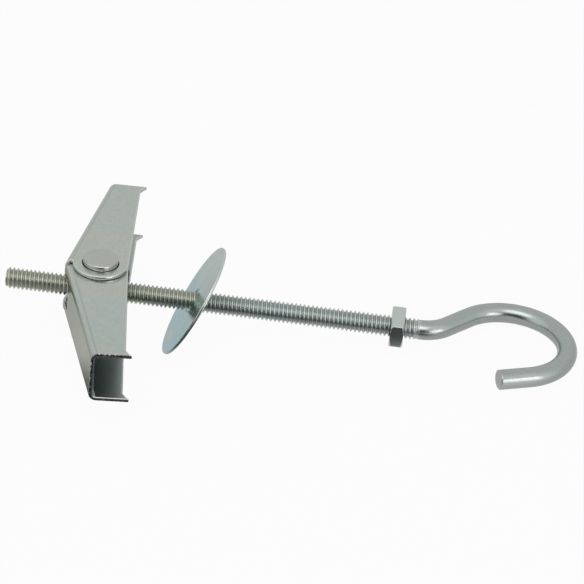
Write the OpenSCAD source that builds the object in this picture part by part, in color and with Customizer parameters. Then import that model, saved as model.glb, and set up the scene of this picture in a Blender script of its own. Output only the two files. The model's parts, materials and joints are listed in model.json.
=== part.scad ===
// Spring toggle bolt with a hook.
//
// Working frame of the modules: the rod's axis is X, with the hook towards +X.
// The trunnion, which the wings hinge on, has its axis on Z at the origin. The
// wings reach out along -Y (inner) and +Y (outer), and fold towards the hook.
// lying() then lays the whole thing down as it comes to rest on a flat surface,
// on the cover washer's rim and the hook.

/* [Hook bolt] */
// Major diameter of the thread
thread_d = 6.35; // [5:0.05:8]
// Distance from one thread crest to the next
thread_pitch = 1.27; // [0.8:0.01:1.55]
// Length of full thread, from the rod's tip
thread_len = 122.8; // [100:0.1:160]
// Thread's major diameter over the plain wire that it is rolled on
thread_swell = 0.4; // [0.2:0.05:0.95]
// Centreline radius of the neck's bend
neck_bend_r = 10.7; // [6:0.1:16]
// Angle that the neck turns off the rod's axis
neck_angle = 46; // [30:0.5:70]
// Straight wire between the neck's bend and the hook's bend
neck_straight = 9.6; // [1:0.05:14]
// Centreline radius of the hook
hook_r = 17.35; // [12:0.05:24]
// Angle that the hook's bend sweeps
hook_sweep = 205; // [180:1:230]
// Straight wire after the hook's bend, up to its cut end
hook_tail = 9.7; // [2:0.1:16]

/* [Wings] */
// Length of a wing from the pin's axis to its tip
wing_len = 47; // [36:0.5:60]
// Thickness of the sheet metal
sheet_t = 1.25; // [0.8:0.05:1.6]
// Gap between each inner flange and the outer flange over it
nest_gap = 0.06; // [0.02:0.01:0.1]
// Radius of the ears round the pin, and height of the open edges
ear_r = 8.3; // [6.5:0.1:11]
// Room between the other wing's ears and the inside of a web
web_gap = 0.76; // [0.4:0.02:1.5]
// Distance from the pin's axis line back to the web, at the tip
web_back_tip = 1.5; // [0:0.1:5]
// Outer radius of the folds between web and flanges
fold_r = 2.2; // [1.8:0.1:3]
// Length of the pointed prongs along the open edge
prong_len = 2.9; // [1:0.1:5]
// Height of the pointed prongs over the open edge
prong_rise = 1.9; // [0.5:0.1:4]
// Depth of the slot in each web for the rod
rod_slot_depth = 6.5; // [5:0.1:10]
// Room between the rod and the edges of that slot
rod_slot_gap = 1.5; // [0.5:0.1:2]
// Angle left between each open wing and a square stance
open_angle = 2; // [0.5:0.1:4]
// Angle that both open wings are swung round the pin together
pair_swing = 5; // [0:0.1:8]

/* [Trunnion] */
// Diameter of the turned ends that the wings hinge on
pin_d = 10.6; // [8:0.1:11]
// How far each turned end stands out of the outer ears
pin_stand = 1.6; // [0.8:0.1:3]
// Radius of the rounded rim of the turned ends
pin_round = 0.6; // [0.2:0.1:0.8]
// Clearance between the trunnion and the ears, round and beside it
hinge_gap = 0.1; // [0.03:0.01:0.1]
// Radial clearance between the rod and what is threaded on it
thread_gap = 0.06; // [0.02:0.01:0.1]
// Rod that reaches past the pin's axis, away from the hook
tip_past_pin = 27.9; // [18:0.1:60]

/* [Spring] */
// Diameter of the spring's wire
spring_wire_d = 0.9; // [0.6:0.05:1.1]
// Room between the coils and the barrel inside them
coil_gap = 0.25; // [0.1:0.05:0.5]
// Room between the coils and the webs
coil_web_gap = 0.16; // [0.1:0.02:0.4]
// Height of one turn of the coils
coil_pitch = 1.15; // [1.12:0.01:1.4]
// Room between the rod and the coils beside it
coil_rod_gap = 0.15; // [0.1:0.05:0.5]
// Room between the coils and the ears
coil_ear_gap = 0.24; // [0.1:0.02:0.5]
// Length of the legs and of the bridge that bear on the webs
leg_len = 16; // [8:0.5:20]

/* [Washer and nut] */
// Outer diameter of the cover washer
washer_d = 36.1; // [30:0.1:50]
// Thickness of the cover washer
washer_t = 0.9; // [0.7:0.1:2]
// Room that the leaning washer's hole leaves on each side of the rod
washer_play = 0.18; // [0.05:0.01:1]
// Radius of the rounded rim of the cover washer
washer_round = 0.3; // [0.1:0.05:0.34]
// Angle that the loose washer leans towards the hook at its top
washer_lean = 26; // [0:0.5:32]
// Place of the washer's centre along the rod, from the pin's axis
washer_x = 28.7; // [20:0.1:60]
// Width of the nut over the thread, across its flats
nut_over_thread = 5.55; // [3:0.05:8]
// Thickness of the nut
nut_t = 3.97; // [3:0.01:6]
// Free thread between the nut and the plain neck
nut_from_neck = 2.93; // [0.5:0.01:40]
// Turn of the nut round the rod
nut_turn = 59; // [0:1:60]

/* [Rest] */
// Small roll round the rod, at which the whole balances on the washer and hook
rest_roll = 1.76; // [-4:0.01:6]

/* [Hidden] */
$fn = 96;

// What is cut away runs this far past the faces that it cuts.
past = 1;

// Rod and hook
wire_d = thread_d - thread_swell;
tip_x = -tip_past_pin;
thread_end_x = tip_x + thread_len;
runout_len = 1.5 * thread_pitch;
bend_x = thread_end_x + runout_len;
tip_chamfer = 0.5 * thread_pitch;
// Rounding of the hook's cut end
end_round = 0.35;
// Straight stretches are this much thinner than the bends, and run this far in.
plug_r = wire_d / 2 - 0.01;
plug_len = 0.25;
neck_end = [bend_x, neck_bend_r] + neck_bend_r * heading(neck_angle - 90) + neck_straight * heading(neck_angle);
hook_centre = neck_end + hook_r * heading(neck_angle - 90);

// Spring, as far as the wings' width depends on it
coil_full_turns = 2;
web_inside = ear_r + web_gap;
web_outside = web_inside + sheet_t;
web_angle = asin(web_outside / norm([wing_len, web_back_tip])) - atan(web_back_tip / wing_len);
coil_r = web_inside - coil_web_gap - spring_wire_d / 2;
coil_turns = coil_full_turns + 2 * (web_angle + open_angle) / 360;
coil_in_z = (thread_d + spring_wire_d) / 2 + coil_rod_gap;
coil_out_z = coil_in_z + coil_turns * coil_pitch;

// Wings
inner_half_w = coil_out_z + spring_wire_d / 2 + coil_ear_gap + sheet_t;
outer_half_w = inner_half_w + nest_gap + sheet_t;
inner_fold_angle = open_angle + pair_swing;
outer_fold_angle = open_angle - pair_swing;
web_back = web_outside / cos(web_angle);
// Gap between the butting ends of the two webs
butt_gap = 0.04;
horn_past = web_inside * sin(open_angle) - butt_gap / 2;
slot_half_w = thread_d / 2 + rod_slot_gap;
slot_corner_r = 1.2;
// Share of the prong's rise and length at which its slope bends
prong_knee = 0.45;

// Trunnion
barrel_r = coil_r - spring_wire_d / 2 - coil_gap;
barrel_half_len = inner_half_w - sheet_t - hinge_gap;
pin_half_len = outer_half_w + pin_stand;
bore_r = thread_d / 2 + thread_gap;

// Rest of the spring
coil_steps = 46;
bridge_bend_r = 1.5;
bridge_bend_step = 18;
wire_sides = 8;
leg_heading = web_angle + inner_fold_angle - 90;
bridge_heading = 90 - outer_fold_angle - web_angle;

// Washer and nut
washer_hole_d = (thread_d + 2 * washer_play + washer_t * sin(washer_lean)) / cos(washer_lean);
washer_rim_r = washer_d / 2 - washer_round;
washer_axis = [cos(washer_lean), 0, -sin(washer_lean)];
nut_af = thread_d + nut_over_thread;
nut_corner_d = nut_af / cos(30);
// Depth at each face over which the nut's corners are rounded off
nut_bevel = (nut_corner_d - nut_af) / 2 * tan(30);
nut_x = thread_end_x - nut_from_neck - nut_t;

// ---- Lying at rest -------------------------------------------------------

function heading(angle) = [cos(angle), sin(angle)];
function unit(v) = v / norm(v);

// Upward direction in the working frame, when the rod's tip is pitched up.
function up(pitch) = [-sin(pitch), -cos(pitch) * sin(rest_roll), cos(pitch) * cos(rest_roll)];

// How far the washer's rim and the hook reach below the pin.
function washer_depth(dir) =
    let (along = dir * washer_axis)
    washer_rim_r * sqrt(1 - along * along) + abs(along) * (washer_t / 2 - washer_round)
        + washer_round - dir.x * washer_x;
function hook_depth(dir) =
    hook_r * norm([dir.x, dir.y]) + wire_d / 2 - dir.x * hook_centre.x - dir.y * hook_centre.y;

// Pitch at which washer and hook reach equally far down, by halving.
function level_pitch(low, high, halvings) =
    let (middle = (low + high) / 2)
    halvings == 0 ? middle
    : washer_depth(up(middle)) > hook_depth(up(middle)) ? level_pitch(middle, high, halvings - 1)
    : level_pitch(low, middle, halvings - 1);

rest_pitch = level_pitch(-10, 30, 30);
rest_height = washer_depth(up(rest_pitch));

// Level direction under the rod, in the working frame, and the reach along it.
ahead = [cos(rest_pitch), -sin(rest_pitch) * sin(rest_roll), sin(rest_pitch) * cos(rest_roll)];
reach_ahead = hook_r * norm([ahead.x, ahead.y]) + wire_d / 2 + ahead.x * hook_centre.x + ahead.y * hook_centre.y;
reach_back = ahead.x * tip_past_pin + sin(rest_pitch) * (thread_d / 2 - tip_chamfer);
outer_reach = wing_len * cos(outer_fold_angle) - (ear_r + prong_rise) * sin(outer_fold_angle);
inner_reach = wing_len * cos(inner_fold_angle) + web_back_tip * sin(inner_fold_angle);

module lying() {
    translate([(reach_back - reach_ahead) / 2, (inner_reach - outer_reach) / 2, rest_height])
        rotate([-rest_roll, rest_pitch, 0]) children();
}

// ---- Hook bolt -------------------------------------------------------------

module rod() {
    thread_r = thread_d / 2;
    rotate([0, 90, 0]) rotate_extrude() polygon([
        [0, 0],
        [thread_r - tip_chamfer, 0],
        [thread_r, tip_chamfer],
        [thread_r, thread_len],
        [plug_r, thread_len + runout_len],
        [plug_r, thread_len + runout_len + plug_len],
        [0, thread_len + runout_len + plug_len]
    ]);
}

module bend(radius, angle) {
    rotate_extrude(angle = angle) translate([radius, 0]) circle(d = wire_d);
}

// Straight wire from the bend before it, up to the bend after it.
module straight_wire(length) {
    translate([-plug_len, 0, 0]) rotate([0, 90, 0]) cylinder(r = plug_r, h = length + 2 * plug_len);
}

// Straight wire from the bend before it, up to its cut end.
module wire_end(length) {
    rotate([0, 90, 0]) rotate_extrude() {
        translate([0, -plug_len]) square([plug_r, plug_len + length - end_round]);
        square([plug_r - end_round, length]);
        rim_round(plug_r, length, end_round);
    }
}

// Quarter disc that rounds the corner at the outer radius and the top.
module rim_round(radius, top, corner_r) {
    translate([radius - corner_r, top - corner_r]) intersection() {
        circle(r = corner_r);
        square(corner_r);
    }
}

module neck_and_hook() {
    translate([bend_x, neck_bend_r, 0]) {
        rotate([0, 0, -90]) bend(neck_bend_r, neck_angle);
        rotate([0, 0, neck_angle]) translate([0, -neck_bend_r, 0]) straight_wire(neck_straight);
    }
    translate([hook_centre.x, hook_centre.y, 0]) rotate([0, 0, neck_angle]) {
        rotate([0, 0, 90 - hook_sweep]) bend(hook_r, hook_sweep);
        rotate([0, 0, -hook_sweep]) translate([0, hook_r, 0]) wire_end(hook_tail);
    }
}

module hook_bolt() {
    color([0.72, 0.74, 0.74]) lying() {
        translate([tip_x, 0, 0]) rod();
        neck_and_hook();
    }
}

// ---- Wings -----------------------------------------------------------------
// A wing is drawn in its own frame: X along its length from the pin's axis, Y
// towards its open side, Z along the pin.

// Outline of a wing as seen along the pin.
module side_outline() {
    circle(r = ear_r);
    polygon([
        [-horn_past, -web_back - horn_past * tan(web_angle)],
        [wing_len, -web_back_tip],
        [wing_len, ear_r + prong_rise],
        [wing_len - prong_len * prong_knee, ear_r + prong_rise * prong_knee],
        [wing_len - prong_len, ear_r],
        [0, ear_r],
        [0, 0],
        [-horn_past, 0]
    ]);
}

// Bar along the web with rounded edges. Its back is depth inside the web's back.
module folded_bar(half_w, depth, edge_r) {
    reach = 4 * web_back;
    rotate([0, 0, web_angle]) translate([-reach, depth - web_outside, 0])
        rotate([90, 0, 90]) linear_extrude(wing_len + 2 * reach) {
            translate([edge_r, -half_w]) square([reach, 2 * half_w]);
            translate([0, edge_r - half_w]) square([edge_r + past, 2 * (half_w - edge_r)]);
            for (side = [-1, 1]) translate([edge_r, side * (half_w - edge_r)]) circle(r = edge_r);
        }
}

// Slot in the web's end that the rod passes through, with rounded corners.
module rod_slot() {
    straight = slot_half_w - slot_corner_r;
    translate([0, -ear_r, 0]) rotate([90, 0, 0]) linear_extrude(web_back) {
        translate([-2 * ear_r, -slot_half_w])
            square([2 * ear_r + rod_slot_depth - slot_corner_r, 2 * slot_half_w]);
        translate([-2 * ear_r, -straight]) square([2 * ear_r + rod_slot_depth, 2 * straight]);
        for (side = [-1, 1])
            translate([rod_slot_depth - slot_corner_r, side * straight]) circle(r = slot_corner_r);
    }
}

module wing(half_w) {
    difference() {
        intersection() {
            translate([0, 0, -half_w]) linear_extrude(2 * half_w) side_outline();
            folded_bar(half_w, 0, fold_r);
        }
        folded_bar(half_w - sheet_t, sheet_t, fold_r - sheet_t);
        cylinder(r = pin_d / 2 + hinge_gap, h = 2 * half_w + 2 * past, center = true);
        rod_slot();
    }
}

module outer_wing() {
    color([0.66, 0.68, 0.67]) lying()
        rotate([0, 0, 90 - outer_fold_angle]) mirror([0, 1, 0]) wing(outer_half_w);
}

module inner_wing() {
    color([0.62, 0.65, 0.64]) lying()
        rotate([0, 0, inner_fold_angle - 90]) wing(inner_half_w);
}

// ---- Trunnion --------------------------------------------------------------

module pin_end() {
    rotate_extrude() {
        square([pin_d / 2, pin_half_len - pin_round]);
        square([pin_d / 2 - pin_round, pin_half_len]);
        rim_round(pin_d / 2, pin_half_len, pin_round);
    }
}

module trunnion() {
    color([0.7, 0.71, 0.69]) lying() difference() {
        union() {
            cylinder(r = barrel_r, h = 2 * barrel_half_len, center = true);
            for (side = [0, 1]) mirror([0, 0, side]) pin_end();
        }
        rotate([0, 90, 0]) cylinder(r = bore_r, h = 4 * barrel_r, center = true);
    }
}

// ---- Spring ----------------------------------------------------------------
// One wire: a leg on the inner web, a coil over the rod, a bridge out along the
// outer web and back, a coil under the rod, and a second leg on the inner web.

// Point beside the coil, out along a straight stretch that leaves it.
function beside_coil(side_angle, out_angle, out, height) =
    let (flat = coil_r * heading(side_angle) + out * heading(out_angle))
    [flat.x, flat.y, height];

// Upper half of the wire, from the middle of the bridge to the end of the leg.
upper_wire = concat(
    [for (turn = [0:bridge_bend_step:90])
        beside_coil(bridge_heading + 90, bridge_heading, leg_len - bridge_bend_r * (1 - cos(turn)),
            coil_in_z - bridge_bend_r * (1 - sin(turn)))],
    [for (step = [0:coil_steps])
        let (done = step / coil_steps, angle = bridge_heading + 90 + 360 * coil_turns * done)
        [coil_r * cos(angle), coil_r * sin(angle), coil_in_z + (coil_out_z - coil_in_z) * done]],
    [beside_coil(leg_heading - 90, leg_heading, leg_len, coil_out_z)]
);
last = len(upper_wire) - 1;
spring_wire = concat([for (i = [last:-1:0]) [upper_wire[i].x, upper_wire[i].y, -upper_wire[i].z]], upper_wire);

// Sweep of a round wire along a path. The ring's first direction is carried on
// from point to point, so that the wire does not twist.
module wire_along(path, radius) {
    count = len(path);
    dirs = [for (i = [0:count - 1]) unit(path[min(i + 1, count - 1)] - path[max(i - 1, 0)])];
    sides = [for (i = 0, side = [0, 0, 1]; i < count; i = i + 1, side = carried(side, dirs[min(i, count - 1)]))
        carried(side, dirs[i])];
    polyhedron(
        points = [for (i = [0:count - 1]) for (k = [0:wire_sides - 1])
            let (turn = 360 * k / wire_sides)
            path[i] + radius * (cos(turn) * sides[i] + sin(turn) * cross(dirs[i], sides[i]))],
        faces = concat(
            [[for (k = [0:wire_sides - 1]) k]],
            [for (i = [0:count - 2]) for (k = [0:wire_sides - 1]) for (half = [0, 1])
                let (next = (k + 1) % wire_sides, a = i * wire_sides, b = a + wire_sides)
                half == 0 ? [a + k, b + k, b + next] : [a + k, b + next, a + next]],
            [[for (k = [wire_sides - 1:-1:0]) (count - 1) * wire_sides + k]]
        )
    );
}

function carried(side, dir) = unit(side - (side * dir) * dir);

module wing_spring() {
    color([0.1, 0.1, 0.1]) lying() wire_along(spring_wire, spring_wire_d / 2);
}

// ---- Cover washer and lock nut -----------------------------------------------

module cover_washer() {
    color([0.68, 0.75, 0.78]) lying()
        translate([washer_x, 0, 0]) rotate([0, 90 + washer_lean, 0]) difference() {
            rotate_extrude() translate([0, -washer_t / 2]) {
                square([washer_rim_r, washer_t]);
                translate([0, washer_round]) square([washer_d / 2, washer_t - 2 * washer_round]);
                for (height = [washer_round, washer_t - washer_round])
                    translate([washer_rim_r, height]) circle(r = washer_round);
            }
            cylinder(d = washer_hole_d, h = washer_t + 2 * past, center = true);
        }
}

// Cone that leaves the nut's face round, and its full corners from nut_bevel on.
module nut_cone() {
    slope = (nut_corner_d - nut_af) / 2 / nut_bevel;
    reach = nut_t;
    cylinder(d1 = nut_af, d2 = nut_af + 2 * slope * reach, h = reach);
}

module lock_nut() {
    color([0.7, 0.71, 0.72]) lying()
        translate([nut_x, 0, 0]) rotate([nut_turn, 0, 0]) rotate([0, 90, 0]) difference() {
            intersection() {
                cylinder(d = nut_corner_d, h = nut_t, $fn = 6);
                nut_cone();
                translate([0, 0, nut_t]) mirror([0, 0, 1]) nut_cone();
            }
            translate([0, 0, -past]) cylinder(r = bore_r, h = nut_t + 2 * past);
        }
}

hook_bolt();
outer_wing();
inner_wing();
trunnion();
wing_spring();
cover_washer();
lock_nut();
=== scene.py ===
"""Spring toggle bolt with a hook, lying on a pale floor in plain soft light."""
from __future__ import annotations

import json
import logging
import math
from dataclasses import dataclass
from enum import Enum
from typing import Callable, Dict, List, Optional, Sequence, Tuple, Union

import bmesh
import bpy
import numpy as np
from bpy.types import ID, Material, Mesh, Node, NodeSocket, Object, World
from mathutils import Matrix, Vector


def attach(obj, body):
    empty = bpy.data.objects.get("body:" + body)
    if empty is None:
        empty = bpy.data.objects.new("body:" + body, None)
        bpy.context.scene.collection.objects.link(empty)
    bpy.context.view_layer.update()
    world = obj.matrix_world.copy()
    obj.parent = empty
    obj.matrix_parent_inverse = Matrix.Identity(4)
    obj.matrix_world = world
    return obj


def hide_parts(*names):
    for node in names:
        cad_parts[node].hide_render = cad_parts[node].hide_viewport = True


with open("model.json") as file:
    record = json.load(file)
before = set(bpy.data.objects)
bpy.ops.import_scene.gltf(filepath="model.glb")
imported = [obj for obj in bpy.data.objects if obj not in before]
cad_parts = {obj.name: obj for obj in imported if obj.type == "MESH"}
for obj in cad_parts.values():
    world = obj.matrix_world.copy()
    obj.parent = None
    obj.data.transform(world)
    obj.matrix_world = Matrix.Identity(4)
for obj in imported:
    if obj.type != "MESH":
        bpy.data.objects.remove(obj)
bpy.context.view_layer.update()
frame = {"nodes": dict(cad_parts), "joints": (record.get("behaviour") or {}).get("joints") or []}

LOG = logging.getLogger("toggle_bolt")
MM = 0.001
WHITE = (1.0, 1.0, 1.0)
# Dark side of the studio in the world's gloss, also the floor's painted dark reflection.
DARK_ROOM = (0.05, 0.055, 0.06)
Triple = Tuple[float, float, float]
Colour = Triple
Pair = Tuple[float, float]
Link = NodeSocket
Faces = List[Tuple[int, ...]]


# Shader graphs.


@dataclass
class Value:
    """A number in a shader graph, which takes part in arithmetic."""

    graph: Graph
    socket: Link

    def _join(self, operation: str, first: Number, second: Number) -> Value:
        """Adds a Math node on two numbers."""
        return self.graph.value("ShaderNodeMath", {"operation": operation}, {0: first, 1: second})

    def __add__(self, other: Number) -> Value:
        """Sum."""
        return self._join("ADD", self, other)

    __radd__ = __add__

    def __sub__(self, other: Number) -> Value:
        """Difference."""
        return self._join("SUBTRACT", self, other)

    def __rsub__(self, other: Number) -> Value:
        """Difference from a plain number."""
        return self._join("SUBTRACT", other, self)

    def __mul__(self, other: Number) -> Value:
        """Product."""
        return self._join("MULTIPLY", self, other)

    __rmul__ = __mul__

    def clipped(self) -> Value:
        """The number kept between 0 and 1."""
        return self.graph.value("ShaderNodeClamp", {}, {"Value": self})

    def between(self, low: float, high: float) -> Value:
        """How far the number has come from low to high, from 0 to 1, eased at both ends.

        Args:
            low: Where the result is 0.
            high: Where the result is 1.

        Returns:
            The eased share.
        """
        sockets = {"Value": self, "From Min": low, "From Max": high}
        return self.graph.value("ShaderNodeMapRange", {"interpolation_type": "SMOOTHSTEP"}, sockets)


Number = Union[Value, float]
Input = Union[Value, Link, float, Sequence[float]]
Inputs = Dict[Union[int, str], Input]


class Graph:
    """The node tree of one material or world."""

    def __init__(self, owner: Union[Material, World]) -> None:
        """Empties the owner's node tree.

        Args:
            owner: The material or world that the graph belongs to.
        """
        owner.use_nodes = True
        self.tree = owner.node_tree
        self.tree.nodes.clear()

    def add(self, kind: str, settings: Dict[str, object], inputs: Inputs) -> Node:
        """Adds a node.

        Args:
            kind: The node's type.
            settings: Its properties. "stops" sets a colour ramp's stops.
            inputs: Values or links of its sockets, by name or number.

        Returns:
            The new node.
        """
        node = self.tree.nodes.new(kind)
        for name, setting in settings.items():
            if name == "stops":
                self._set_stops(node, setting)
            else:
                setattr(node, name, setting)
        for name, given in inputs.items():
            socket = given.socket if isinstance(given, Value) else given
            if isinstance(socket, Link):
                self.tree.links.new(socket, node.inputs[name])
            else:
                node.inputs[name].default_value = socket
        return node

    @staticmethod
    def _set_stops(node: Node, stops: Sequence[Tuple[float, Colour]]) -> None:
        """Sets the stops of a colour ramp.

        Args:
            node: The ramp.
            stops: Place and colour of each stop, in order.
        """
        elements = node.color_ramp.elements
        elements.remove(elements[-1])
        elements[0].position, elements[0].color = stops[0][0], (*stops[0][1], 1.0)
        for position, colour in stops[1:]:
            elements.new(position).color = (*colour, 1.0)

    def value(self, kind: str, settings: Dict[str, object], inputs: Inputs) -> Value:
        """Adds a node and wraps its first output as a number."""
        return Value(self, self.add(kind, settings, inputs).outputs[0])

    def mix(self, share: Number, first: Input, second: Input, blend: str = "MIX") -> Link:
        """Mixes two colours.

        Args:
            share: How much of the second colour shows.
            first: A colour or link.
            second: A colour or link.
            blend: The blend type.

        Returns:
            The mixed colour's socket.
        """
        settings = {"data_type": "RGBA", "blend_type": blend}
        # The node has sockets for every type: 6 and 7 take its colours, and output 2 gives one.
        return self.add("ShaderNodeMix", settings, {0: share, 6: _rgba(first), 7: _rgba(second)}).outputs[2]

    def millimetres(self) -> Link:
        """The piece's own coordinates, in millimetres, which run along the wire where it is bent."""
        return self.add("ShaderNodeAttribute", {"attribute_name": "own"}, {}).outputs["Vector"]

    def part_of(self, vector: Link, letter: str) -> Value:
        """One coordinate of a vector."""
        return Value(self, self.add("ShaderNodeSeparateXYZ", {}, {0: vector}).outputs[letter])

    def ramp(self, share: Value, colours: Sequence[Colour], low: float = 0.32, high: float = 0.68) -> Link:
        """Colours spread evenly over a range of a number.

        Args:
            share: The number.
            colours: The colours, in order.
            low: Where the first colour is reached.
            high: Where the last colour is reached.

        Returns:
            The colour's socket.
        """
        step = (high - low) / max(1, len(colours) - 1)
        stops = [(low + i * step, colour) for i, colour in enumerate(colours)]
        return self.add("ShaderNodeValToRGB", {"stops": stops}, {0: share}).outputs[0]

    def noise(
        self, place: Link, scale: float, detail: float = 2.0, rough: float = 0.5,
        stretch: Optional[Triple] = None,
    ) -> Value:
        """Soft noise.

        Args:
            place: Coordinates to read it at.
            scale: Features per unit of the coordinates.
            detail: Octaves.
            rough: Strength of the finer octaves.
            stretch: What the coordinates are multiplied by, direction by direction.

        Returns:
            The noise, round 0.5.
        """
        if stretch:
            product = self.add("ShaderNodeVectorMath", {"operation": "MULTIPLY"}, {0: place, 1: stretch})
            place = product.outputs[0]
        sockets = {"Vector": place, "Scale": scale, "Detail": detail, "Roughness": rough}
        return self.value("ShaderNodeTexNoise", {}, sockets)

    def attribute(self, name: str) -> Value:
        """A number that the mesh stores at each point."""
        return Value(self, self.add("ShaderNodeAttribute", {"attribute_name": name}, {}).outputs["Fac"])

    def rays(self) -> Tuple[Value, Value]:
        """Whether the camera sees the place, and whether a gloss reflects it."""
        path = self.add("ShaderNodeLightPath", {}, {})
        return Value(self, path.outputs["Is Camera Ray"]), Value(self, path.outputs["Is Glossy Ray"])

    def metal(self, colour: Link, metallic: float, rough: Value, height: Value) -> None:
        """Ends a material in a metal.

        Args:
            colour: Its colour.
            metallic: How far it is bare metal.
            rough: Its roughness.
            height: Its relief, in millimetres.
        """
        bump = self.add("ShaderNodeBump", {}, {"Height": height, "Distance": MM, "Strength": 1.0})
        sockets = {"Base Color": colour, "Metallic": metallic, "Roughness": rough.clipped()}
        sockets["Normal"] = bump.outputs[0]
        shader = self.add("ShaderNodeBsdfPrincipled", {}, sockets)
        self.add("ShaderNodeOutputMaterial", {}, {"Surface": shader.outputs[0]})


def _rgba(colour: Input) -> Input:
    """A plain colour with its alpha, or the link as it is."""
    return (*colour, 1.0) if isinstance(colour, tuple) else colour


# Finishes.


class Grain(Enum):
    """Which way the fine lines of the metal run, as a stretch of its coordinates."""

    ROLLED = (0.06, 1.0, 1.0)
    DRAWN = (0.25, 1.0, 1.0)
    TURNED = (1.0, 1.0, 0.05)
    TUMBLED = (1.0, 1.0, 1.0)


@dataclass(frozen=True)
class ZincPlate:
    """Bright zinc plating with its passivation film, over steel worked in some way.

    Stations along the piece and depths of relief are in millimetres.
    """

    name: str
    grain: Grain
    films: Tuple[Colour, ...]
    # Colour and share that recesses are darkened toward, as painted shade.
    painted_shade: Colour = (0.085, 0.095, 0.09)
    painted_shade_share: float = 0.6
    patch: float = 0.045
    gloss: float = 0.24
    dull: float = 0.10
    grain_depth: float = 0.0007
    dimple_depth: float = 0.0022
    warm_end: Optional[Tuple[float, float, Colour]] = None
    burnished_to: Optional[float] = None
    # Heights along the pin between which it is darkened as painted shade, inside the ears' holes.
    painted_shade_foot: Optional[Pair] = None
    streaks: float = 0.25
    # Share of the bare tone on edges, crests and rims, which is wear with a painted sheen.
    edge_wear_and_sheen: float = 0.6
    folded: bool = False

    # Tones that are laid over the film, among them painted shade and a painted sheen.
    CLOUD = (0.30, 0.31, 0.30)
    BURNISH = (1.42, 1.42, 1.40)
    WARM = (0.66, 0.65, 0.52)
    INSIDE_TINT_AND_SHADE = (0.38, 0.435, 0.43)
    SPECK = (0.12, 0.13, 0.125)
    PAINTED_ROD_SHADE = (0.18, 0.18, 0.15)
    BEND_LINE = (0.24, 0.26, 0.27)
    BEND_SHEEN = (0.62, 0.66, 0.66)
    STREAK = (0.70, 0.72, 0.70)
    BARE_AND_SHEEN = (0.74, 0.76, 0.74)
    TORN = (0.025, 0.025, 0.03)
    SHEARED = (0.62, 0.63, 0.62)
    TEAR = (0.70, 0.70, 0.68)

    # How far the warm end wanders, how far along the wing the painted shade of the rod reaches, and depths
    # of the finer relief.
    WANDER = 30.0
    ROD_SHADE_REACH = (8.0, 40.0)
    SCUFF_DEPTH = 0.0012
    TEAR_DEPTH = 0.02

    def _colour(self, graph: Graph, place: Link, mottle: Value) -> Link:
        """Tone of the film, from patch to patch and along the piece.

        Args:
            graph: The material's graph.
            place: The piece's own coordinates.
            mottle: The film's small cloudiness.

        Returns:
            The film's colour.
        """
        patches = graph.noise(place, self.patch) + (mottle - 0.5) * 0.10
        film = graph.ramp(patches, self.films)
        x = graph.part_of(place, "X")
        if self.warm_end:
            low, high, warm = self.warm_end
            along = x + (graph.noise(place, 0.08) - 0.5) * self.WANDER
            film = graph.mix((1.0 - along.between(low, high)) * 0.7, film, warm)
        film = graph.mix((mottle - 0.42) * 0.5, film, self.CLOUD)
        if self.burnished_to:
            rubbed = 1.0 - x.between(self.burnished_to - 1.0, self.burnished_to + 1.0)
            film = graph.mix(rubbed, film, self.BURNISH, "MULTIPLY")
        # The web's outer face takes a warm tone; near the rod the same mark darkens it as painted shade, and
        # -1 inside the channel gives a darker teal tint that is partly painted shade.
        film_tone_and_shade = graph.attribute("film_tone_and_shade")
        film = graph.mix(film_tone_and_shade, film, self.WARM, "MULTIPLY")
        film = graph.mix((0.0 - film_tone_and_shade) * 0.8, film, self.INSIDE_TINT_AND_SHADE)
        specks = graph.noise(place, 3.2, detail=5.0, rough=0.75).between(0.60, 0.70)
        film = graph.mix(specks * 0.4, film, self.SPECK)
        if not self.folded:
            return film
        # The web is darkened near the rod as painted shade.
        near = 1.0 - x.between(*self.ROD_SHADE_REACH)
        film = graph.mix(film_tone_and_shade * near * 0.65, film, self.PAINTED_ROD_SHADE)
        bend = graph.attribute("bend")
        line = bend.between(0.05, 0.4) * (1.0 - bend.between(0.5, 0.85))
        # A lighter band over the fold's curve is a painted sheen.
        rolled = bend.between(0.7, 1.0) * (1.0 - bend.between(1.5, 1.9))
        film = graph.mix(line * 0.3, film, self.BEND_LINE)
        return graph.mix(rolled * 0.2, film, self.BEND_SHEEN)

    def material(self) -> Material:
        """Builds the finish.

        Returns:
            The finished material.
        """
        made = bpy.data.materials.new(self.name)
        graph = Graph(made)
        place = graph.millimetres()
        mottle = graph.noise(place, 0.7, detail=4.0, rough=0.6)
        lines = graph.noise(place, 5.5, detail=3.0, rough=0.6, stretch=self.grain.value)
        dimples = graph.noise(place, 1.4)
        scuffs = graph.noise(place, 1.8, detail=5.0, rough=0.7, stretch=(0.25, 1.5, 1.0)).between(0.62, 0.70)
        # Recesses are darkened toward the shade colour as painted shade: thread roots, bores, the pin's hole
        # and the band under the ears.
        recess = graph.attribute("recess")
        # The pin's band inside the ears' holes is darkened as painted shade.
        if self.painted_shade_foot:
            stand = graph.value("ShaderNodeMath", {"operation": "ABSOLUTE"}, {0: graph.part_of(place, "Z")})
            inner, outer = self.painted_shade_foot
            recess = recess + stand.between(inner, inner + 0.1) * (1.0 - stand.between(outer, outer + 0.1))
        cut = graph.attribute("cut")
        across = graph.attribute("across") + (graph.noise(place, 1.8, detail=3.0, rough=0.6) - 0.5) * 0.5
        tears = graph.noise(place, 2.2, detail=3.0, rough=0.6, stretch=(1.0, 0.8, 0.8)).between(0.52, 0.60)
        film = self._colour(graph, place, mottle)
        film = graph.mix((lines - 0.5) * self.streaks + 0.03, film, self.STREAK)
        film = graph.mix(recess * self.painted_shade_share, film, self.painted_shade)
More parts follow.
